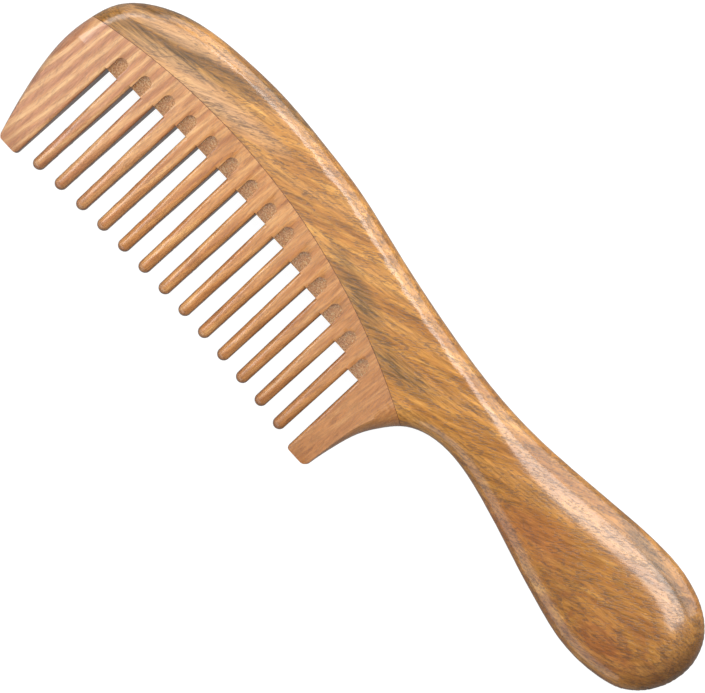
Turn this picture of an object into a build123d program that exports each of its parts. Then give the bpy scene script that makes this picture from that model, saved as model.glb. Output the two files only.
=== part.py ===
from build123d import *
import os
from math import atan2, cos, degrees, hypot, radians, sin, sqrt

# Wide tooth comb made of two boards of wood, joined by a glued tongue and groove along a curved seam.
# handle_back is the handle and the spine, tooth_plate is the board with the teeth, and glue_line is the
# film of glue that fills the joint. It is modelled with X along the comb from the head end, Y up from
# the tips of the two guard teeth, and Z = 0 at the middle of the thickness. place() then sets the comb
# down flat, with the origin under the centre of its box. All sizes are millimetres.

# Overall
COMB_LENGTH = 210.0
COMB_WIDTH = 56.0
BOARD_THICKNESS = 11.0
EDGE_ROUND = 4.6            # round-over along the outer edge of both boards

# Teeth and guards
TOOTH_COUNT = 13
TOOTH_PITCH = 6.975
TOOTH_WIDTH_ROOT = 3.75
TOOTH_WIDTH_TIP = 3.15
TOOTH_ROUND = 0.9           # round-over along the edges of the teeth
TIP_THICKNESS = 3.8
TIP_RISE = 3.0              # how far the middle teeth stop short of the guards
HEAD_GUARD_TIP = 5.7        # width of the guard tooth at the head end, at its tip
HEAD_GUARD_LEAN = 6.6       # how far that guard's outer side leans out above its tip
HANDLE_GUARD_TIP = 6.6      # width of the guard tooth beside the handle, at its tip
TAPER_POWER = 1.4           # 1 thins the teeth evenly to their tips, more keeps them thick for longer

# Gullets, cut from both faces above each gap
GULLET_LENGTH = 4.7
GULLET_STEP = 0.7           # depth of the short wall at the top of a gullet
WEB_EDGE = 0.9              # thickness left where the two ramps of a gullet meet the gap

# Seam between the boards, measured down from the top of the spine
SEAM_DROP_HEAD = 20.6
SEAM_DROP_TOP = 14.9
SEAM_DROP_NOTCH = 32.75
GAP_SETBACK_HEAD = 8.9      # distance from the seam down to the gaps, at the head end
GAP_SETBACK_NOTCH = 7.1     # the same beside the handle
GLUE_FILM = 0.12

# Tongue on the tooth plate, and the groove for it in the back
TONGUE_HEIGHT = 3.0
TONGUE_THICKNESS = 3.2
TONGUE_STOP = 9.0           # how far the tongue stops short of each end of the seam

# Outline. Heights are measured down from the top of the spine, lengths from the head end.
SPINE_CREST = 45.24         # where the spine is highest
HEAD_DROP = 27.44           # where the head reaches furthest out
NOTCH_FLARE = 8.4           # from the side of the handle's guard to the lower end of the seam
NOTCH_LENGTH = 14.0         # from there to the narrowest place of the neck
NECK_SKEW = 2.5             # how far the neck's lower side is narrowest before its upper side
NECK_DROP = 10.9
NECK_WIDTH = 17.6
SWELL_DROP = 6.8
SWELL_WIDTH = 32.7
BUTT_DROP = 23.4
SWELL_TOP_SHARE = 0.64      # where the handle's upper side is highest, as a share of neck to butt
SWELL_LOW_SHARE = 0.735     # where its lower side is lowest

# Worked out from the sizes above
GAP_ROOT = TOOTH_PITCH - TOOTH_WIDTH_ROOT
FIRST_TOOTH = HEAD_GUARD_LEAN + HEAD_GUARD_TIP + TOOTH_PITCH - TOOTH_WIDTH_TIP / 2
LAST_TOOTH = FIRST_TOOTH + (TOOTH_COUNT - 1) * TOOTH_PITCH
FIELD_START = FIRST_TOOTH - TOOTH_PITCH + TOOTH_WIDTH_ROOT / 2
FIELD_END = LAST_TOOTH + TOOTH_PITCH - TOOTH_WIDTH_ROOT / 2
GUARD_SIDE = FIELD_END + HANDLE_GUARD_TIP
NOTCH_X = GUARD_SIDE + NOTCH_FLARE
NECK_X = NOTCH_X + NOTCH_LENGTH
HALF_BOARD = BOARD_THICKNESS / 2
HALF_TIP = TIP_THICKNESS / 2
RIM_ROUND = min(EDGE_ROUND, 0.95 * HALF_BOARD)
TOOTH_EDGE_ROUND = min(TOOTH_ROUND, 0.9 * HALF_TIP, 0.9 * TOOTH_WIDTH_TIP / 2)
BELOW = -12.0               # the blank runs this far below the tips before it is cut off
TALL = 3 * BOARD_THICKNESS  # height of the cutters


def circle_through(a, b, c):
    """Centre x, centre y and radius of the circle through three points."""
    (ax, ay), (bx, by), (cx, cy) = a, b, c
    det = 2 * (ax * (by - cy) + bx * (cy - ay) + cx * (ay - by))
    a2, b2, c2 = ax * ax + ay * ay, bx * bx + by * by, cx * cx + cy * cy
    x = (a2 * (by - cy) + b2 * (cy - ay) + c2 * (ay - by)) / det
    y = (a2 * (cx - bx) + b2 * (ax - cx) + c2 * (bx - ax)) / det
    return x, y, hypot(ax - x, ay - y)


SEAM_X, SEAM_Y, SEAM_RADIUS = circle_through(
    (0.0, COMB_WIDTH - SEAM_DROP_HEAD),
    (SPINE_CREST, COMB_WIDTH - SEAM_DROP_TOP),
    (NOTCH_X, COMB_WIDTH - SEAM_DROP_NOTCH),
)


def seam_height(x):
    return SEAM_Y + sqrt(SEAM_RADIUS**2 - (x - SEAM_X) ** 2)


def gap_top(x):
    """Height of the straight end of the gap at x."""
    share = (x - FIELD_START) / (FIELD_END - FIELD_START)
    return seam_height(x) - GAP_SETBACK_HEAD - (GAP_SETBACK_NOTCH - GAP_SETBACK_HEAD) * share


def tip_height(x):
    """Height of the tooth tip at x: a shallow arch between the two guards."""
    middle = (FIELD_START + FIELD_END) / 2
    half_span = (FIELD_END - FIELD_START) / 2 + HANDLE_GUARD_TIP
    return TIP_RISE * (1 - ((x - middle) / half_span) ** 2)


def half_thickness(x, y):
    """Half the thickness of the tooth plate: full at the seam, thin at the tips."""
    fall = (seam_height(x) - y) / seam_height(x)
    return HALF_BOARD - (HALF_BOARD - HALF_TIP) * fall**TAPER_POWER


def rim_points(start, end, shares):
    """Points of the rim from start up to end, each at its share of the way along X and along Y."""
    (x0, y0), (x1, y1) = start, end
    return [start] + [(x0 + (x1 - x0) * u, y0 + (y1 - y0) * v) for u, v in shares]


def point_below(curve, at):
    """Point at the height BELOW on the straight line that carries on from one end of a curve."""
    end, way = curve @ at, curve % at
    return end + way * ((BELOW - end.Y) / way.Y)


def comb_outline():
    """Outline of the whole comb in plan, with the tooth side left open down to BELOW."""
    handle = COMB_LENGTH - NECK_X
    head_foot = (HEAD_GUARD_LEAN, 0)
    head_end = (0, COMB_WIDTH - HEAD_DROP)
    crest = (SPINE_CREST, COMB_WIDTH)
    neck_top = (NECK_X, COMB_WIDTH - NECK_DROP)
    swell_top = (NECK_X + SWELL_TOP_SHARE * handle, COMB_WIDTH - SWELL_DROP)
    butt = (COMB_LENGTH, COMB_WIDTH - BUTT_DROP)
    swell_low = (NECK_X + SWELL_LOW_SHARE * handle, COMB_WIDTH - SWELL_DROP - SWELL_WIDTH)
    neck_low = (NECK_X - NECK_SKEW, COMB_WIDTH - NECK_DROP - NECK_WIDTH)
    handle_foot = (GUARD_SIDE, 0)
    head_side = rim_points(head_foot, head_end, [(0.35, 0.235), (0.66, 0.482), (0.9, 0.735)])
    head_shoulder = rim_points(head_end, crest, [
        (0.0133, 0.227), (0.061, 0.486), (0.13, 0.628), (0.23, 0.752), (0.371, 0.8615), (0.533, 0.931),
        (0.74, 0.976),
    ])
    spine = rim_points(crest, neck_top, [
        (0.163, 0.06), (0.33, 0.197), (0.496, 0.459), (0.664, 0.706), (0.828, 0.894),
    ])
    handle_top = rim_points(neck_top, swell_top, [(0.25, 0.073), (0.5, 0.366), (0.75, 0.72)])
    butt_top = rim_points(swell_top, butt, [(0.347, 0.015), (0.611, 0.12), (0.819, 0.313), (0.958, 0.608)])
    butt_low = rim_points(butt, swell_low, [(0.053, 0.317), (0.17, 0.581), (0.377, 0.817), (0.653, 0.941)])
    handle_low = rim_points(swell_low, neck_low, [
        (0.124, 0.023), (0.254, 0.1545), (0.416, 0.364), (0.5855, 0.609), (0.748, 0.827), (0.874, 0.959),
    ])
    notch = rim_points(neck_low, handle_foot, [
        (0.312, 0.04), (0.548, 0.1345), (0.719, 0.287), (0.849, 0.458), (0.93, 0.666), (0.98, 0.87),
    ])
    rim = Spline(
        *head_side, *head_shoulder, *spine, *handle_top,
        *butt_top, *butt_low, *handle_low, *notch, handle_foot,
    )
    head_corner, handle_corner = point_below(rim, 0), point_below(rim, 1)
    low_head = Line(head_corner, head_foot)
    low_side = Line(handle_foot, handle_corner)
    bottom = Line(handle_corner, head_corner)
    return Face(Wire([low_head, rim, low_side, bottom]))


def rounded_blank():
    """Full-thickness blank of the whole comb, with its outer edge rounded over on both faces."""
    blank = extrude(comb_outline(), amount=HALF_BOARD, both=True)
    rims = blank.edges().filter_by(lambda e: abs(abs(e.center().Z) - HALF_BOARD) < 1e-3)
    rims = rims.filter_by(lambda e: e.center().Y > BELOW + 1)
    return fillet(rims, RIM_ROUND)


def seam_disc(radius):
    """Cylinder that holds everything on the tooth side of an arc about the seam's centre."""
    return Pos(SEAM_X, SEAM_Y, 0) * Cylinder(radius, TALL)


def seam_tongue(clearance):
    """Tongue along the seam, grown on all sides by clearance."""
    start = degrees(atan2(seam_height(NOTCH_X) - SEAM_Y, NOTCH_X - SEAM_X))
    end = degrees(atan2(seam_height(0) - SEAM_Y, -SEAM_X))
    stop = degrees((TONGUE_STOP - clearance) / SEAM_RADIUS)
    inner, outer = SEAM_RADIUS - TONGUE_HEIGHT / 2, SEAM_RADIUS + TONGUE_HEIGHT + clearance
    ring = Circle(outer) - Circle(inner)
    reach = 2 * SEAM_RADIUS
    turn_a, turn_b = start + stop, end - stop
    middle = (turn_a + turn_b) / 2
    rays = [(reach * cos(radians(turn)), reach * sin(radians(turn))) for turn in (turn_a, middle, turn_b)]
    wedge = make_face(Polyline((0, 0), *rays, close=True))
    sector = ring & wedge
    return Pos(SEAM_X, SEAM_Y, 0) * extrude(sector, amount=TONGUE_THICKNESS / 2 + clearance, both=True)


def taper_section(x):
    """Closed section of the tooth plate's two tapered faces, across the comb at x."""
    low, top = BELOW / 2, seam_height(x)
    heights = (low, top / 2, top)
    front = [(x, y, half_thickness(x, y)) for y in heights]
    back = [(x, y, -z) for x, y, z in front]
    return Wire([Line(back[0], front[0]), Spline(*front), Line(front[-1], back[-1]), Spline(*back)])


def taper_envelope():
    """Solid between the two tapered faces of the tooth plate, lofted through evenly spaced sections."""
    count = 9
    overrun = 4.0
    step = (NOTCH_X + 2 * overrun) / (count - 1)
    return Solid.make_loft([taper_section(index * step - overrun) for index in range(count)])


def tooth_plan(x):
    """Plan of one tooth: tapered sides and a full-round tip, run up past the gaps."""
    tip, top = tip_height(x), gap_top(x) + GULLET_LENGTH
    radius = TOOTH_WIDTH_TIP / 2
    sides = Polyline(
        (x - TOOTH_WIDTH_ROOT / 2, top), (x - radius, tip + radius), (x + radius, tip + radius),
        (x + TOOTH_WIDTH_ROOT / 2, top), close=True,
    )
    return make_face(sides) + Pos(x, tip + radius) * Circle(radius)


def gap_plan():
    """Plan of everything cut away between the guards."""
    strips = Sketch()
    for index in range(TOOTH_COUNT + 1):
        x = FIRST_TOOTH + (index - 0.5) * TOOTH_PITCH
        low = BELOW - 1
        top = gap_top(x)
        strips += Pos(x, (low + top) / 2) * Rectangle(TOOTH_PITCH, top - low)
    ends = [FIRST_TOOTH - TOOTH_PITCH, LAST_TOOTH + TOOTH_PITCH]
    for x in ends:
        inner = 1 if x < FIRST_TOOTH else -1
        lean = (TOOTH_WIDTH_ROOT - TOOTH_WIDTH_TIP) / 2
        guard = make_face(Polyline(
            (x - inner * TOOTH_PITCH, BELOW - 2), (x + inner * (TOOTH_WIDTH_ROOT / 2 - lean), BELOW - 2),
            (x + inner * TOOTH_WIDTH_ROOT / 2, COMB_WIDTH), (x - inner * TOOTH_PITCH, COMB_WIDTH), close=True,
        ))
        strips -= guard
    for index in range(TOOTH_COUNT):
        strips -= tooth_plan(FIRST_TOOTH + index * TOOTH_PITCH)
    return strips


def gullet_cutter(x):
    """Arch-topped pocket above one gap, which leaves a web with a ramp on each face."""
    low = gap_top(x)
    top = low + GULLET_LENGTH
    radius = GAP_ROOT / 2
    plan = Pos(x, (low + top - radius) / 2) * Rectangle(GAP_ROOT, GULLET_LENGTH - radius)
    plan += Pos(x, top - radius) * Circle(radius)
    ramp_top = half_thickness(x, top) - GULLET_STEP
    web = Plane.YZ.offset(x) * make_face(Polyline(
        (low, -WEB_EDGE / 2), (low, WEB_EDGE / 2), (top + 1, ramp_top), (top + 1, -ramp_top), close=True,
    ))
    return extrude(plan, amount=TALL / 2, both=True) - extrude(web, amount=GAP_ROOT, both=True)


def tooth_edges(plate):
    """Long edges of the teeth and their tips, on both faces."""
    inside = plate.edges().filter_by(
        lambda e: FIELD_START - 1 < e.center().X < FIELD_END + 1 and abs(e.center().Z) > HALF_TIP / 2
    )
    return inside.filter_by(lambda e: e.center().Y < gap_top(e.center().X) - 1)


def make_tooth_plate(blank):
    plate = (blank & taper_envelope()) & seam_disc(SEAM_RADIUS - GLUE_FILM / 2)
    plate -= Pos(COMB_LENGTH / 2, BELOW, 0) * Box(2 * COMB_LENGTH, -2 * BELOW, TALL)
    plate -= extrude(gap_plan(), amount=TALL / 2, both=True)
    plate = fillet(tooth_edges(plate), TOOTH_EDGE_ROUND)
    for index in range(TOOTH_COUNT + 1):
        plate -= gullet_cutter(FIRST_TOOTH + (index - 0.5) * TOOTH_PITCH)
    return plate + seam_tongue(0)


def make_handle_back(blank):
    back = blank - seam_disc(SEAM_RADIUS + GLUE_FILM / 2)
    back = back.solids().sort_by(SortBy.VOLUME)[-1]
    return back - seam_tongue(GLUE_FILM)


def make_glue_line(blank):
    film = blank & (seam_disc(SEAM_RADIUS + GLUE_FILM / 2) - seam_disc(SEAM_RADIUS - GLUE_FILM / 2))
    film = film.solids().filter_by(lambda s: s.center().Y > 0).sort_by(SortBy.VOLUME)[-1]
    return film + (seam_tongue(GLUE_FILM) - seam_disc(SEAM_RADIUS)) - seam_tongue(0)


def place(shape):
    """Lay the comb on its face with the origin under the centre of its box."""
    return Pos(-COMB_LENGTH / 2, -COMB_WIDTH / 2, HALF_BOARD) * shape


def main():
    os.makedirs("parts", exist_ok=True)
    blank = rounded_blank()
    nodes = {
        "handle_back": make_handle_back(blank),
        "tooth_plate": make_tooth_plate(blank),
        "glue_line": make_glue_line(blank),
    }
    for name, shape in nodes.items():
        export_step(place(shape), f"parts/{name}.step")


main()
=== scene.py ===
from math import hypot, pi, radians, sqrt

import bmesh
import bpy
from mathutils import Matrix, Vector
from mathutils.bvhtree import BVHTree


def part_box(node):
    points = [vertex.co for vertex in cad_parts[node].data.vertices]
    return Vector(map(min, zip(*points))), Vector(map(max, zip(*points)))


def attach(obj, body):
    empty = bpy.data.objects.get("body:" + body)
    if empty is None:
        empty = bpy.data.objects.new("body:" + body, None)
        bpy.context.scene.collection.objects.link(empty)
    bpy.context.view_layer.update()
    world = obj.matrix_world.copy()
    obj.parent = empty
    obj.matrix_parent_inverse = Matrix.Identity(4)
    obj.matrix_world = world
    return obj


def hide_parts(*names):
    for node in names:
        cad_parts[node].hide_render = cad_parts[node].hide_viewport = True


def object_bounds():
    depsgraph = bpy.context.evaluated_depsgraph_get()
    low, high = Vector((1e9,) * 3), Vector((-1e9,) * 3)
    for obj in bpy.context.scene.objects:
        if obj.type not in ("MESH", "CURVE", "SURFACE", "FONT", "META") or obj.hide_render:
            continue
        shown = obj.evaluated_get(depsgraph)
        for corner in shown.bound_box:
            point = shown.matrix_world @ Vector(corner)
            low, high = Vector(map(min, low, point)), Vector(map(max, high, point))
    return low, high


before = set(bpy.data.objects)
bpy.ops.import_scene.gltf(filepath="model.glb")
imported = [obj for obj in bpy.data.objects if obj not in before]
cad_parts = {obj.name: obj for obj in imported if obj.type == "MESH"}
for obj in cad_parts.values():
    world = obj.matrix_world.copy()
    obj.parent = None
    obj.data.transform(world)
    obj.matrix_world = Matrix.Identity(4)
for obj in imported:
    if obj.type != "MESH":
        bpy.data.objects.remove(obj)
cad_low, cad_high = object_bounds()

# The comb lies on its face: X runs towards the butt of the handle, Y towards the spine, Z up.
MM = 0.001
MIDDLE_Z = (cad_low.z + cad_high.z) / 2
HALF_BOARD = (cad_high.z - cad_low.z) / 2
PLATE_LOW, PLATE_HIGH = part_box("tooth_plate")
HEAD_END = PLATE_LOW.x
NOTCH_X = PLATE_HIGH.x
TIP_Y = PLATE_LOW.y

# Sizes of the tooth board, as the model of the comb has them
TOOTH_COUNT = 13
TOOTH_PITCH = 6.975 * MM
FIRST_TOOTH = HEAD_END + 17.7 * MM
TOOTH_HALF_WIDTH = 1.6 * MM
HEAD_GUARD = (HEAD_END + 6.6 * MM, HEAD_END + 12.36 * MM)       # outer and inner corner of its tip
HANDLE_GUARD = (HEAD_END + 106.74 * MM, HEAD_END + 113.1 * MM)  # inner and outer corner of its tip
SEAM_CENTRE = Vector((HEAD_END + 44.38 * MM, TIP_Y - 134.42 * MM, 0))
SEAM_RADIUS = 175.52 * MM
HALF_TIP = 1.9 * MM
TAPER_POWER = 1.4
EDGE_ROUND = 4.6 * MM
CORNER_ROUND = 0.9 * MM

# How far below the seam the gullets lie
GULLET_TOP = 2.5 * MM
GULLET_END = 9.5 * MM

# The handle's crown grows from CROWN_START past the notch to full at CROWN_END past it
CROWN_START = 1 * MM
CROWN_END = 45 * MM
CROWN_REACH = 8 * MM

# Steps of the cuts that give the boards enough points to be shaped
HANDLE_STEP = 1.4 * MM
TOOTH_STEP = 1.2 * MM
CORNER_CUTS = [step * MM for step in (0.25, 0.5, 0.8, 1.1, 1.5, 2.0)]
TOOTH_CUTS = [step * MM for step in (-0.9, -0.6, -0.3, 0, 0.3, 0.6, 0.9)]
HANDLE_LAYERS = [MIDDLE_Z + step * MM for step in (-0.6, 0, 0.6)]
TOOTH_LAYERS = [MIDDLE_Z + step * MM for step in (-0.6, -0.3, 0, 0.3, 0.6)]

# Limits that sort faces and points
UPRIGHT = 0.05
LEVEL = 0.97
SEAM_BAND = 3.3 * MM
MERGE_DISTANCE = 2e-6
CRISP_ANGLE = radians(28)


# ---------------------------------------------------------------- shader helpers


def colour(code):
    """Linear colour from a hex code such as C8955C."""
    channels = [int(code[i:i + 2], 16) / 255 for i in (0, 2, 4)]
    linear = [c / 12.92 if c <= 0.04045 else ((c + 0.055) / 1.055) ** 2.4 for c in channels]
    return (*linear, 1.0)


class Bench:
    """Adds shader nodes to one tree and joins them, so that a material reads as a list of steps."""

    def __init__(self, tree):
        self.tree = tree

    def add(self, kind, inputs=None, **settings):
        node = self.tree.nodes.new(kind)
        for name, value in settings.items():
            setattr(node, name, value)
        for name, value in (inputs or {}).items():
            self.feed(node.inputs[name], value)
        return node

    def feed(self, socket, value):
        if isinstance(value, bpy.types.NodeSocket):
            self.tree.links.new(value, socket)
        else:
            socket.default_value = value

    def math(self, operation, a, b=0.0, clamp=False):
        node = self.add("ShaderNodeMath", {0: a, 1: b}, operation=operation)
        node.use_clamp = clamp
        return node.outputs[0]

    def blend(self, amount, a, b, mode="MIX"):
        node = self.add("ShaderNodeMix", data_type="RGBA", blend_type=mode)
        self.feed(node.inputs[0], amount)
        self.feed(node.inputs[6], a)
        self.feed(node.inputs[7], b)
        return node.outputs[2]

    def ramp(self, value, stops, smooth=False):
        """Colour ramp: stops is a list of place and colour, or place and grey value."""
        node = self.add("ShaderNodeValToRGB", {"Fac": value})
        node.color_ramp.interpolation = "EASE" if smooth else "LINEAR"
        elements = node.color_ramp.elements
        while len(elements) < len(stops):
            elements.new(0.5)
        for element, (place, shade) in zip(elements, stops):
            element.position = place
            element.color = colour(shade) if isinstance(shade, str) else (shade, shade, shade, 1)
        return node.outputs["Color"]

    def noise(self, vector, scale, detail=2.0, roughness=0.5):
        inputs = {"Vector": vector, "Scale": scale, "Detail": detail, "Roughness": roughness}
        return self.add("ShaderNodeTexNoise", inputs).outputs["Fac"]

    def stretch(self, vector, place=(0, 0, 0), turn=0.0, scale=(1, 1, 1)):
        """Moves, turns about Z and scales a vector, in that order."""
        moved = self.add("ShaderNodeVectorMath", {0: vector, 1: place}, operation="SUBTRACT").outputs[0]
        turned = self.add(
            "ShaderNodeVectorRotate", {"Vector": moved, "Angle": turn}, rotation_type="Z_AXIS"
        ).outputs[0]
        return self.add("ShaderNodeVectorMath", {0: turned, 1: scale}, operation="MULTIPLY").outputs[0]

    def spot(self, vector, place, size, turn=0.0, soft=1.0):
        """Soft oval mask, 1 at place and 0 past size, which is its half length and half width."""
        local = self.stretch(vector, place, -radians(turn), (1 / size[0], 1 / size[1], 0))
        reach = self.add("ShaderNodeVectorMath", {0: local}, operation="LENGTH").outputs["Value"]
        inside = self.math("SUBTRACT", 1.0, reach, clamp=True)
        return self.math("POWER", inside, soft, clamp=True)


def new_group(name, inputs, outputs):
    """Empty node group with named inputs and outputs. Returns its bench, input node and output node."""
    group = bpy.data.node_groups.new(name, "ShaderNodeTree")
    for label, kind, value in inputs:
        socket = group.interface.new_socket(label, in_out="INPUT", socket_type=kind)
        if value is not None:
            socket.default_value = value
    for label, kind in outputs:
        group.interface.new_socket(label, in_out="OUTPUT", socket_type=kind)
    bench = Bench(group)
    return bench, bench.add("NodeGroupInput"), bench.add("NodeGroupOutput")


def new_material(name):
    """New material. Returns it with its bench, its shader and its coordinates in millimetres."""
    material = bpy.data.materials.new(name)
    material.use_nodes = True
    bench = Bench(material.node_tree)
    shader = material.node_tree.nodes["Principled BSDF"]
    place = bench.add("ShaderNodeTexCoord").outputs["Object"]
    inputs = {0: place, 1: (1 / MM,) * 3}
    metric = bench.add("ShaderNodeVectorMath", inputs, operation="MULTIPLY").outputs[0]
    return material, bench, shader, metric


# ---------------------------------------------------------------- wood


def build_grain_group():
    """Grain that both boards share, read along X of a vector in millimetres.

    Ribbon is the broad layers of interlocked grain, and Rings the thin growth lines that follow them.
    Streak is the drift of colour along the board. Feather and Pores are the fine lines and the short
    dark dashes. The lines lean one way and then the other from ribbon to ribbon, and the dashes lean
    one way throughout. Lean is how far, in radians, and Layer Width is in millimetres. Height is added
    to the layers to bend or close them, and Waviness is how much they wander.
    """
    bench, given, result = new_group(
        "wood_grain",
        [
            ("Vector", "NodeSocketVector", None),
            ("Height", "NodeSocketFloat", 0.0),
            ("Layer Width", "NodeSocketFloat", 5.0),
            ("Lean", "NodeSocketFloat", 0.3),
            ("Waviness", "NodeSocketFloat", 1.0),
        ],
        [
            ("Ribbon", "NodeSocketFloat"),
            ("Rings", "NodeSocketFloat"),
            ("Streak", "NodeSocketFloat"),
            ("Feather", "NodeSocketFloat"),
            ("Pores", "NodeSocketFloat"),
        ],
    )
    vector = given.outputs["Vector"]
    parts = bench.add("ShaderNodeSeparateXYZ", {0: vector})
    drift = bench.noise(bench.stretch(vector, scale=(0.3, 1.0, 0.8)), 0.09, 2.0, 0.5)
    drift = bench.math("MULTIPLY", bench.math("SUBTRACT", drift, 0.5), 12.0)
    drift = bench.math("MULTIPLY", drift, given.outputs["Waviness"])
    depth = bench.math("MULTIPLY", parts.outputs["Z"], 0.8)
    height = bench.math("ADD", bench.math("ADD", parts.outputs["Y"], depth), given.outputs["Height"])
    height = bench.math("ADD", height, drift)
    phase = bench.math("DIVIDE", height, given.outputs["Layer Width"])
    wave = bench.math("SINE", bench.math("MULTIPLY", phase, 2 * pi))
    ribbon = bench.math("ADD", bench.math("MULTIPLY", wave, 0.5), 0.5)
    ragged = bench.noise(bench.stretch(vector, scale=(0.25, 1.2, 1.2)), 1.0, 3.0, 0.6)
    ragged = bench.math("MULTIPLY", bench.math("SUBTRACT", ragged, 0.5), 0.7)
    saw = bench.math("FRACT", bench.math("ADD", bench.math("MULTIPLY", phase, 3.1), ragged))
    rings = bench.math("POWER", saw, 2.5)

    streak = bench.noise(bench.stretch(vector, scale=(0.1, 1.0, 0.8)), 0.6, 5.0, 0.68)

    side = bench.ramp(ribbon, [(0.35, 0.0), (0.65, 1.0)], smooth=True)
    feathers = []
    for sign in (-0.5, 0.5):
        turned = bench.stretch(vector, (0, 0, 0), bench.math("MULTIPLY", given.outputs["Lean"], sign))
        feathers.append(bench.noise(bench.stretch(turned, scale=(0.17, 1.8, 1.8)), 1.0, 4.0, 0.68))
    feather = bench.blend(side, *feathers)

    steep = bench.stretch(vector, (31, 7, 3), bench.math("MULTIPLY", given.outputs["Lean"], -1.0))
    dashes = bench.noise(bench.stretch(steep, scale=(0.7, 3.4, 3.4)), 1.0, 1.0, 0.5)
    crowd = bench.noise(bench.stretch(vector, (5, 19, 2), 0.0, (0.12, 0.5, 0.5)), 1.0, 2.0, 0.6)
    crowd = bench.math("ADD", bench.math("MULTIPLY", crowd, 0.45), bench.math("MULTIPLY", rings, 0.1))
    pores = bench.ramp(bench.math("ADD", dashes, crowd), [(0.81, 0.0), (0.89, 1.0)])
    outputs = {"Ribbon": ribbon, "Rings": rings, "Streak": streak, "Feather": feather, "Pores": pores}
    for name, value in outputs.items():
        bench.feed(result.inputs[name], value)
    return bench.tree


def build_finish_group():
    """Oiled, hand-rubbed finish that both woods share: how rough the surface is, and its relief."""
    bench, given, result = new_group(
        "rubbed_finish",
        [
            ("Vector", "NodeSocketVector", None),
            ("Pores", "NodeSocketFloat", 0.0),
            ("Feather", "NodeSocketFloat", 0.5),
            ("Base Roughness", "NodeSocketFloat", 0.3),
        ],
        [("Roughness", "NodeSocketFloat"), ("Relief", "NodeSocketFloat")],
    )
    pores = given.outputs["Pores"]
    rubbed = bench.noise(given.outputs["Vector"], 0.25, 3.0, 0.6)
    rough = bench.math("ADD", given.outputs["Base Roughness"], bench.math("MULTIPLY", rubbed, 0.1))
    rough = bench.math("ADD", rough, bench.math("MULTIPLY", pores, 0.2))
    fibres = bench.math("MULTIPLY", given.outputs["Feather"], 0.5)
    relief = bench.math("SUBTRACT", fibres, pores)
    bench.feed(result.inputs["Roughness"], rough)
    bench.feed(result.inputs["Relief"], relief)
    return bench.tree


def place_group(bench, group, inputs):
    node = bench.add("ShaderNodeGroup", node_tree=group)
    for name, value in inputs.items():
        bench.feed(node.inputs[name], value)
    return node.outputs


def rub(bench, shader, groups, metric, wood, roughness, depth):
    """Gives a shader the rubbed finish over its grain."""
    inputs = {
        "Vector": metric, "Pores": wood["Pores"], "Feather": wood["Feather"], "Base Roughness": roughness
    }
    finish = place_group(bench, groups["finish"], inputs)
    bench.feed(shader.inputs["Roughness"], finish["Roughness"])
    relief = {"Strength": 0.35, "Distance": depth * MM, "Height": finish["Relief"]}
    bump = bench.add("ShaderNodeBump", relief)
    bench.feed(shader.inputs["Normal"], bump.outputs[0])
    shader.inputs["Coat Weight"].default_value = 0.65
    shader.inputs["Coat Roughness"].default_value = 0.13


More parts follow.
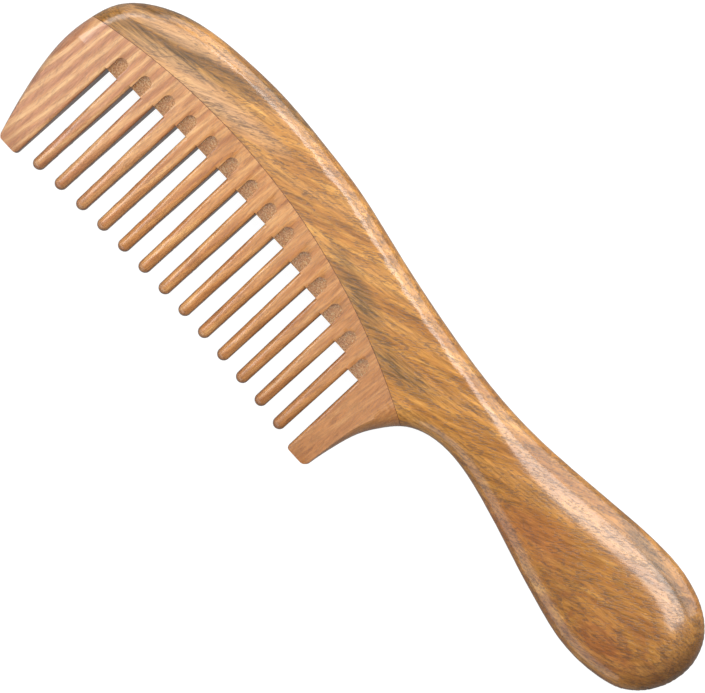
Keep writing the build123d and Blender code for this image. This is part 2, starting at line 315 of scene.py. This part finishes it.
def back_wood(groups):
    """Board of the handle and spine: golden brown, with olive-brown streaks and feathered pores."""
    material, bench, shader, metric = new_material("back_wood")
    along = bench.stretch(metric, (0, 0, 0), -radians(17))
    knot = bench.spot(metric, (84, -4.5, 0), (40, 17), 8, 1.0)
    height = bench.math("MULTIPLY", knot, 22.0)
    inputs = {"Vector": along, "Height": height, "Layer Width": 9.0, "Lean": 0.3, "Waviness": 1.0}
    wood = place_group(bench, groups["grain"], inputs)

    golden = [(0.3, "754B22"), (0.44, "A36B2F"), (0.56, "BE843A"), (0.7, "D9A355")]
    base = bench.ramp(wood["Streak"], golden)
    ribbon = bench.ramp(wood["Ribbon"], [(0.0, "986432"), (0.5, "B88042"), (1.0, "CB9658")])
    base = bench.blend(0.4, base, ribbon)
    dark_lines = bench.math("MULTIPLY", wood["Rings"], 0.42)
    base = bench.blend(dark_lines, base, colour("74502C"))

    # painted shade: the handle darkens towards the butt, standing in for light that falls off there
    painted_shade_toward_butt = bench.spot(metric, (112, 4, 0), (100, 60), 0, 0.7)
    base = bench.blend(bench.math("MULTIPLY", painted_shade_toward_butt, 0.42), base, colour("86592F"))

    # olive-brown streaks: two near the head, two by the seam, one along the rim of the handle, and the crest
    streaks = [
        bench.spot(metric, (-83, 16.8, 0), (30, 3.6), 19.5, 0.35),
        bench.spot(metric, (-92, 22.0, 0), (24, 3.2), 38, 0.4),
        bench.spot(metric, (-12, 8.5, 0), (16, 3.6), -16, 0.6),
        bench.spot(metric, (6, 3.5, 0), (13, 3.2), 8, 0.6),
        bench.spot(metric, (82, 17.3, 0), (19, 2.0), -9, 0.5),
        bench.spot(metric, (-56, 27.2, 0), (26, 1.6), 4, 0.6),
    ]
    olive = streaks[0]
    for other in streaks[1:]:
        olive = bench.math("MAXIMUM", olive, other)
    broken = bench.ramp(wood["Feather"], [(0.36, 1.0), (0.62, 0.0)])
    broken = bench.math("ADD", bench.math("MULTIPLY", broken, 0.45), 0.55)
    olive = bench.math("MULTIPLY", olive, broken)
    base = bench.blend(bench.math("MULTIPLY", olive, 0.9), base, colour("4E3E28"))

    # pinkish bands between them, and reddish wood in the handle
    pink = bench.spot(metric, (-72, 14.8, 0), (26, 3.6), 10, 0.6)
    pink = bench.math("MAXIMUM", pink, bench.spot(metric, (-86, 19.6, 0), (20, 2.2), 19, 0.6))
    base = bench.blend(bench.math("MULTIPLY", pink, 0.7), base, colour("C8A07A"))
    red = bench.spot(metric, (53, -1.0, 0), (17, 7), 20, 0.6)
    heart = bench.spot(metric, (86.2, -4.8, 0), (9, 4.4), 6, 0.6)
    red = bench.math("MAXIMUM", bench.math("MULTIPLY", red, 0.6), bench.math("MULTIPLY", heart, 0.6))
    base = bench.blend(red, base, colour("94542F"))

    # oval figure of the knot in the handle
    oval = bench.stretch(metric, (86.2, -4.8, 0), -radians(7), (1 / 22, 1 / 9.5, 0))
    reach = bench.add("ShaderNodeVectorMath", {0: oval}, operation="LENGTH").outputs["Value"]
    wander = bench.math("MULTIPLY", bench.noise(along, 0.12, 3.0, 0.6), 0.7)
    turns = bench.math("FRACT", bench.math("MULTIPLY", bench.math("ADD", reach, wander), 3.4))
    lines = bench.ramp(turns, [(0.35, 0.0), (0.75, 1.0), (0.95, 0.2)])
    near = bench.spot(metric, (84, -4.5, 0), (27, 13), 7, 0.4)
    lines = bench.math("MULTIPLY", lines, bench.math("MULTIPLY", near, 0.6))
    base = bench.blend(lines, base, colour("7E4A2C"))

    # painted shade, darker round the butt, which is 105 mm from the middle, where the light falls away
    along_comb = bench.add("ShaderNodeSeparateXYZ", {0: metric}).outputs["X"]
    butt = bench.ramp(bench.math("DIVIDE", along_comb, 105.0), [(0.9, 0.0), (1.0, 1.0)], smooth=True)
    base = bench.blend(bench.math("MULTIPLY", butt, 0.7), base, colour("4E3826"))

    fine = bench.ramp(wood["Feather"], [(0.3, 0.0), (0.48, 0.55), (0.7, 1.0)])
    base = bench.blend(0.42, base, fine, "OVERLAY")
    base = bench.blend(bench.math("MULTIPLY", wood["Pores"], 0.5), base, colour("4A3322"))
    bench.feed(shader.inputs["Base Color"], base)
    rub(bench, shader, groups, metric, wood, 0.17, 0.06)
    return material


def tooth_wood(groups):
    """Board of the teeth: orange tan, with mauve stripes along the teeth at the head end."""
    material, bench, shader, metric = new_material("tooth_wood")
    along = bench.stretch(metric, (0, 0, 0), -radians(89))
    inputs = {"Vector": along, "Height": 0.0, "Layer Width": 2.8, "Lean": 0.22, "Waviness": 0.4}
    wood = place_group(bench, groups["grain"], inputs)

    base = bench.ramp(wood["Streak"], [(0.34, "9A6236"), (0.5, "BE8149"), (0.64, "D4A066")])
    ribbon = bench.ramp(wood["Ribbon"], [(0.0, "AC7246"), (1.0, "D09C66")])
    base = bench.blend(0.35, base, ribbon)
    # painted shade: the board darkens towards the handle end, standing in for light that falls off there
    painted_shade_handle_side = bench.spot(metric, (20, -10, 0), (60, 90), 0, 0.8)
    base = bench.blend(bench.math("MULTIPLY", painted_shade_handle_side, 0.6), base, colour("A06B40"))
    head_side = bench.spot(metric, (-105, -6, 0), (46, 90), 0, 0.9)
    striped = bench.ramp(wood["Ribbon"], [(0.15, "AE7E68"), (0.55, "C4936E"), (0.95, "DEB488")])
    base = bench.blend(bench.math("MULTIPLY", head_side, 0.7), base, striped)
    base = bench.blend(bench.math("MULTIPLY", wood["Rings"], 0.25), base, colour("8C5636"))
    fine = bench.ramp(wood["Feather"], [(0.3, 0.0), (0.5, 0.55), (0.7, 1.0)])
    base = bench.blend(0.24, base, fine, "OVERLAY")
    base = bench.blend(bench.math("MULTIPLY", wood["Pores"], 0.28), base, colour("6B4228"))
    # darker tips, which are 28 mm below the middle, painted shade on the upright sides of the teeth, and
    # rough gullet floors made lighter with painted light
    down = bench.add("ShaderNodeSeparateXYZ", {0: metric}).outputs["Y"]
    tips = bench.ramp(bench.math("DIVIDE", down, -28.0), [(0.72, 0.0), (1.0, 1.0)], smooth=True)
    base = bench.blend(bench.math("MULTIPLY", tips, 0.4), base, colour("8A542E"))
    side_shade = bench.add("ShaderNodeAttribute", attribute_name="painted_side_shade").outputs["Fac"]
    base = bench.blend(bench.math("MULTIPLY", side_shade, 0.6), base, colour("6A3C24"))
    # partly painted light: the rough end-grain speckle of the gullet floors is real, but is made lighter
    # than the wood to stand in for light on floors that lie in shade
    end_grain = bench.add("ShaderNodeAttribute", attribute_name="end_grain").outputs["Fac"]
    lit_floor_speckle = bench.noise(metric, 2.6, 2.0, 0.6)
    lit_floor_speckle = bench.ramp(lit_floor_speckle, [(0.34, "C27830"), (0.52, "F2A858"), (0.66, "FFDC9C")])
    base = bench.blend(bench.math("MULTIPLY", end_grain, 0.9), base, lit_floor_speckle)
    bench.feed(shader.inputs["Base Color"], base)
    rub(bench, shader, groups, metric, wood, 0.2, 0.015)
    return material


def glue():
    """Dried glue in the seam."""
    material, bench, shader, metric = new_material("glue")
    shade = bench.ramp(bench.noise(metric, 0.8, 3.0), [(0.35, "2A120A"), (0.65, "5E3018")])
    bench.feed(shader.inputs["Base Color"], shade)
    dullness = bench.ramp(bench.noise(metric, 2.0), [(0.3, 0.4), (0.7, 0.7)])
    bench.feed(shader.inputs["Roughness"], dullness)
    return material


# ---------------------------------------------------------------- boards


def board_copy(node):
    """A merged copy of a CAD node's mesh, to be worked into a board."""
    bm = bmesh.new()
    bm.from_mesh(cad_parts[node].data)
    bmesh.ops.remove_doubles(bm, verts=bm.verts, dist=1e-7)
    return bm


def slice_board(bm, direction, places):
    """Cuts edges into the board along parallel planes, so that its faces can be worked."""
    for place in places:
        everything = bm.verts[:] + bm.edges[:] + bm.faces[:]
        normal = Vector(direction)
        bmesh.ops.bisect_plane(bm, geom=everything, dist=1e-6, plane_co=normal * place, plane_no=normal)


def even_steps(low, high, step):
    count = max(1, round((high - low) / step))
    return [low + (high - low) * i / count for i in range(1, count)]


def finish_board(bm, name, material, node):
    """Makes a worked board a smooth-shaded piece with crisp arrises, which stands for its CAD node."""
    bmesh.ops.remove_doubles(bm, verts=bm.verts, dist=MERGE_DISTANCE)
    bmesh.ops.triangulate(bm, faces=bm.faces, quad_method="BEAUTY", ngon_method="BEAUTY")
    for face in bm.faces:
        face.smooth = True
    for edge in bm.edges:
        edge.smooth = edge.calc_face_angle(0) < CRISP_ANGLE
    mesh = bpy.data.meshes.new(name)
    bm.to_mesh(mesh)
    bm.free()
    mesh.materials.append(material)
    piece = bpy.data.objects.new(name, mesh)
    bpy.context.scene.collection.objects.link(piece)
    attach(piece, "root")
    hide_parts(node)
    return piece


def upright_walls():
    """The upright faces that cross the middle of the comb's thickness, all but the seam.

    They make a search tree that gives the way and the distance to the nearest side.
    """
    corners, walls = [], []
    for node in ("handle_back", "tooth_plate"):
        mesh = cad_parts[node].data
        for face in mesh.polygons:
            points = [mesh.vertices[i].co for i in face.vertices]
            heights = [p.z - MIDDLE_Z for p in points]
            in_seam = all(abs(plan_distance(p, SEAM_CENTRE) - SEAM_RADIUS) < SEAM_BAND for p in points)
            crosses = min(heights) < 1e-6 < max(heights) + 2e-6
            if abs(face.normal.z) < UPRIGHT and crosses and not in_seam:
                walls.append(range(len(corners), len(corners) + len(points)))
                corners += [p.copy() for p in points]
    return BVHTree.FromPolygons(corners, [list(w) for w in walls])


def plan_distance(a, b):
    return hypot(a.x - b.x, a.y - b.y)


def smoothstep(low, high, value):
    share = min(max((value - low) / (high - low), 0), 1)
    return share * share * (3 - 2 * share)


def round_over(vert, walls, half, reach, rise):
    """Brings a point that stands outside an oval round-over back onto it.

    half is half the thickness there, reach is how far in from the side the oval runs, and rise is how
    far down from the face.
    """
    _, outward, _, distance = walls.find_nearest(Vector((vert.co.x, vert.co.y, MIDDLE_Z)))
    lift = abs(vert.co.z - MIDDLE_Z) - (half - rise)
    if distance >= reach or lift <= 0:
        return
    inward, upward = 1 - distance / reach, lift / rise
    length = hypot(inward, upward)
    if length <= 1:
        return
    vert.co -= outward * (reach * (1 - inward / length) - distance)
    side = 1 if vert.co.z > MIDDLE_Z else -1
    vert.co.z = MIDDLE_Z + side * (half - rise + rise * upward / length)


def crown_handle(bm, walls):
    """Rounds the handle to an oval section, from the plain round-over of the spine to a full oval."""
    for vert in bm.verts:
        amount = smoothstep(NOTCH_X + CROWN_START, NOTCH_X + CROWN_END, vert.co.x)
        if amount > 0:
            reach = EDGE_ROUND + amount * CROWN_REACH
            rise = EDGE_ROUND + amount * (HALF_BOARD - EDGE_ROUND)
            round_over(vert, walls, HALF_BOARD, reach, rise)


def seam_height(x):
    return SEAM_CENTRE.y + sqrt(SEAM_RADIUS**2 - (x - SEAM_CENTRE.x) ** 2)


def plate_half(x, y):
    """Half the thickness of the tooth board, which thins from the seam to the tips."""
    length = seam_height(x) - TIP_Y
    fall = max(0, (seam_height(x) - y) / length)
    return HALF_BOARD - (HALF_BOARD - HALF_TIP) * fall**TAPER_POWER


def round_teeth(bm, walls):
    """Rounds the teeth, from softened edges at their roots to dowels at their tips."""
    clear_of_guard = 1.5 * MM
    dowel_top = TIP_Y + 8 * MM
    dowel_rise = 0.85 * HALF_TIP
    for vert in bm.verts:
        x, y = vert.co.x, vert.co.y
        if not HEAD_GUARD[1] + clear_of_guard < x < HANDLE_GUARD[0] - clear_of_guard:
            continue
        amount = smoothstep(seam_height(x) - GULLET_END, dowel_top, y)
        if amount > 0:
            reach = CORNER_ROUND + amount * (TOOTH_HALF_WIDTH - CORNER_ROUND)
            rise = CORNER_ROUND + amount * (dowel_rise - CORNER_ROUND)
            round_over(vert, walls, plate_half(x, y), reach, rise)


def ease_gullets(bm):
    """Softens the arrises where the gullets meet the faces of the board."""
    arrises = []
    for edge in bm.edges:
        middle = (edge.verts[0].co + edge.verts[1].co) / 2
        if len(edge.link_faces) != 2 or not HEAD_GUARD[1] < middle.x < HANDLE_GUARD[0]:
            continue
        tilts = sorted(abs(face.normal.z) for face in edge.link_faces)
        below = seam_height(middle.x) - middle.y
        if tilts[0] < UPRIGHT and tilts[1] > LEVEL and GULLET_TOP < below < GULLET_END:
            arrises.append(edge)
    bmesh.ops.bevel(
        bm, geom=arrises, offset=0.2 * MM, offset_type="OFFSET", segments=2, profile=0.5,
        affect="EDGES", clamp_overlap=True, material=-1,
    )


def mark_floors_and_shaded_sides(piece):
    """Marks the sloping floors of the gullets, which are rough end grain, and the upright sides of the
    teeth, which take painted shade.
    """
    mesh = piece.data
    for name in ("end_grain", "painted_side_shade"):
        mesh.attributes.new(name, "FLOAT", "FACE")
    floors, sides = mesh.attributes["end_grain"], mesh.attributes["painted_side_shade"]
    first, last = HEAD_GUARD[1] - 0.3 * MM, HANDLE_GUARD[0] + 0.3 * MM
    for face in mesh.polygons:
        x = face.center.x
        below = seam_height(x) - face.center.y
        if not first < x < last or below < GULLET_TOP:
            continue
        slope = abs(face.normal.z)
        is_floor = 0.3 < slope < 0.95 and face.normal.y < -0.3 and below < 10 * MM
        floors.data[face.index].value = 1.0 if is_floor else 0.0
        # painted shade on the upright sides of the teeth, darkest where they stand straight up
        sides.data[face.index].value = 0.0 if is_floor else 1 - smoothstep(0.1, 0.8, slope)


def round_corner(bm, corner_x, inner, radius):
    """Rounds one corner of a guard's tip in plan. inner is 1 where the guard lies at larger X, or -1.

    Squares about the corner's centre become circles, so that the softened edge follows round.
    """
    centre = Vector((corner_x + inner * radius, TIP_Y + radius, 0))
    for vert in bm.verts:
        across, down = (centre.x - vert.co.x) * inner, centre.y - vert.co.y
        if across > 0 and down > 0 and across < 1.5 * radius:
            share = max(across, down) / hypot(across, down)
            vert.co.x = centre.x - inner * across * share
            vert.co.y = centre.y - down * share


def back_board(material, walls):
    """The board of the handle and spine."""
    bm = board_copy("handle_back")
    low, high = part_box("handle_back")
    slice_board(bm, (1, 0, 0), even_steps(NOTCH_X - 2 * MM, high.x, HANDLE_STEP))
    slice_board(bm, (0, 1, 0), even_steps(low.y, high.y, HANDLE_STEP))
    slice_board(bm, (0, 0, 1), HANDLE_LAYERS)
    crown_handle(bm, walls)
    finish_board(bm, "back_board", material, "handle_back")


def tooth_board(material, walls):
    """The board of the teeth and the two guards."""
    bm = board_copy("tooth_plate")
    ease_gullets(bm)
    slice_board(bm, (0, 1, 0), [TIP_Y + cut for cut in CORNER_CUTS])
    slice_board(bm, (0, 1, 0), even_steps(TIP_Y + CORNER_CUTS[-1], TIP_Y + 32 * MM, TOOTH_STEP))
    for index in range(TOOTH_COUNT):
        middle = FIRST_TOOTH + index * TOOTH_PITCH
        slice_board(bm, (1, 0, 0), [middle + cut for cut in TOOTH_CUTS])
    corners = ((HEAD_GUARD[0], 1), (HEAD_GUARD[1], -1), (HANDLE_GUARD[0], 1), (HANDLE_GUARD[1], -1))
    for corner, inner in corners:
        slice_board(bm, (1, 0, 0), [corner + inner * cut for cut in CORNER_CUTS])
    slice_board(bm, (0, 0, 1), TOOTH_LAYERS)
    round_teeth(bm, walls)
    for (corner, inner), radius in zip(corners, (0.9, 1.1, 1.0, 1.6)):
        round_corner(bm, corner, inner, radius * MM)
    mark_floors_and_shaded_sides(finish_board(bm, "tooth_board", material, "tooth_plate"))


# ---------------------------------------------------------------- scene


def pale_floor():
    """Plain white floor, lit evenly from itself as on a light table, so that it hardly shadows."""
    gap = 0.05 * MM
    bm = bmesh.new()
    bmesh.ops.create_grid(bm, x_segments=1, y_segments=1, size=3.0)
    bmesh.ops.translate(bm, verts=bm.verts, vec=(0, 0, cad_low.z - gap))
    mesh = bpy.data.meshes.new("floor")
    bm.to_mesh(mesh)
    bm.free()
    floor = bpy.data.objects.new("floor", mesh)
    material = bpy.data.materials.new("floor")
    material.use_nodes = True
    bench = Bench(material.node_tree)
    shader = material.node_tree.nodes["Principled BSDF"]
    shader.inputs["Base Color"].default_value = (0.12, 0.12, 0.12, 1)
    shader.inputs["Roughness"].default_value = 0.9
    shader.inputs["Specular IOR Level"].default_value = 0.0
    shader.inputs["Emission Color"].default_value = (1, 1, 1, 1)
    path = bench.add("ShaderNodeLightPath").outputs
    mirrored = bench.math("MULTIPLY", path["Is Glossy Ray"], 0.08)
    seen = bench.math("MAXIMUM", path["Is Camera Ray"], mirrored)
    glow = bench.math("ADD", bench.math("MULTIPLY", seen, 0.88), 0.1)
    bench.feed(shader.inputs["Emission Strength"], glow)
    mesh.materials.append(material)
    bpy.context.scene.collection.objects.link(floor)


def soft_light(name, direction, distance, width, height, power):
    """Rectangular soft light that faces the comb from a direction in the comb's frame."""
    data = bpy.data.lights.new(name, "AREA")
    data.shape = "RECTANGLE"
    data.size, data.size_y = width, height
    data.energy = power
    light = bpy.data.objects.new(name, data)
    away = Vector(direction).normalized()
    light.location = away * distance
    light.rotation_mode = "QUATERNION"
    light.rotation_quaternion = away.to_track_quat("Z", "Y")
    bpy.context.scene.collection.objects.link(light)


def studio():
    """White surroundings that hardly light the comb, and the soft lights that do."""
    world = bpy.data.worlds.new("studio")
    world.use_nodes = True
    bench = Bench(world.node_tree)
    backdrop = world.node_tree.nodes["Background"]
    backdrop.inputs["Color"].default_value = (1, 1, 1, 1)
    seen = bench.add("ShaderNodeLightPath").outputs["Is Camera Ray"]
    bench.feed(backdrop.inputs["Strength"], bench.math("ADD", bench.math("MULTIPLY", seen, 0.88), 0.12))
    bpy.context.scene.world = world
    soft_light("spine_softbox", (0.16, 0.57, 1.0), 0.9, 0.66, 0.40, 5.0)
    soft_light("spine_low_softbox", (0.0, 2.2, 0.6), 0.8, 1.2, 0.9, 8.5)
    soft_light("head_softbox", (-0.84, 0.1, 1.0), 0.9, 0.7, 0.42, 3.0)
    soft_light("tooth_softbox", (-0.3, -1.0, 0.4), 0.9, 1.8, 0.6, 4.5)
    soft_light("overhead", (-0.5, 0.0, 1.0), 1.2, 1.5, 1.2, 4.8)


def camera():
    """Looks straight down on the face, turned so that the comb lies across the picture."""
    data = bpy.data.cameras.new("camera")
    distance = 0.80
    view_width = 0.1671
    data.sensor_width = 36.0
    data.lens = data.sensor_width * distance / view_width
    cam = bpy.data.objects.new("camera", data)
    right = Vector((0.6788, 0.7343, 0.0))
    up = Vector((-0.7343, 0.6788, 0.0))
    turn = Matrix((right, up, Vector((0, 0, 1)))).transposed()
    stand = Vector((-0.0051, -0.0003, MIDDLE_Z + distance))
    cam.matrix_world = Matrix.Translation(stand) @ turn.to_4x4()
    bpy.context.scene.collection.objects.link(cam)
    bpy.context.scene.camera = cam


def main():
    groups = {"grain": build_grain_group(), "finish": build_finish_group()}
    walls = upright_walls()
    back_board(back_wood(groups), walls)
    tooth_board(tooth_wood(groups), walls)
    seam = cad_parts["glue_line"]
    seam.material_slots[0].material = glue()
    pale_floor()
    studio()
    camera()
    bpy.context.scene.view_settings.view_transform = "Standard"


main()
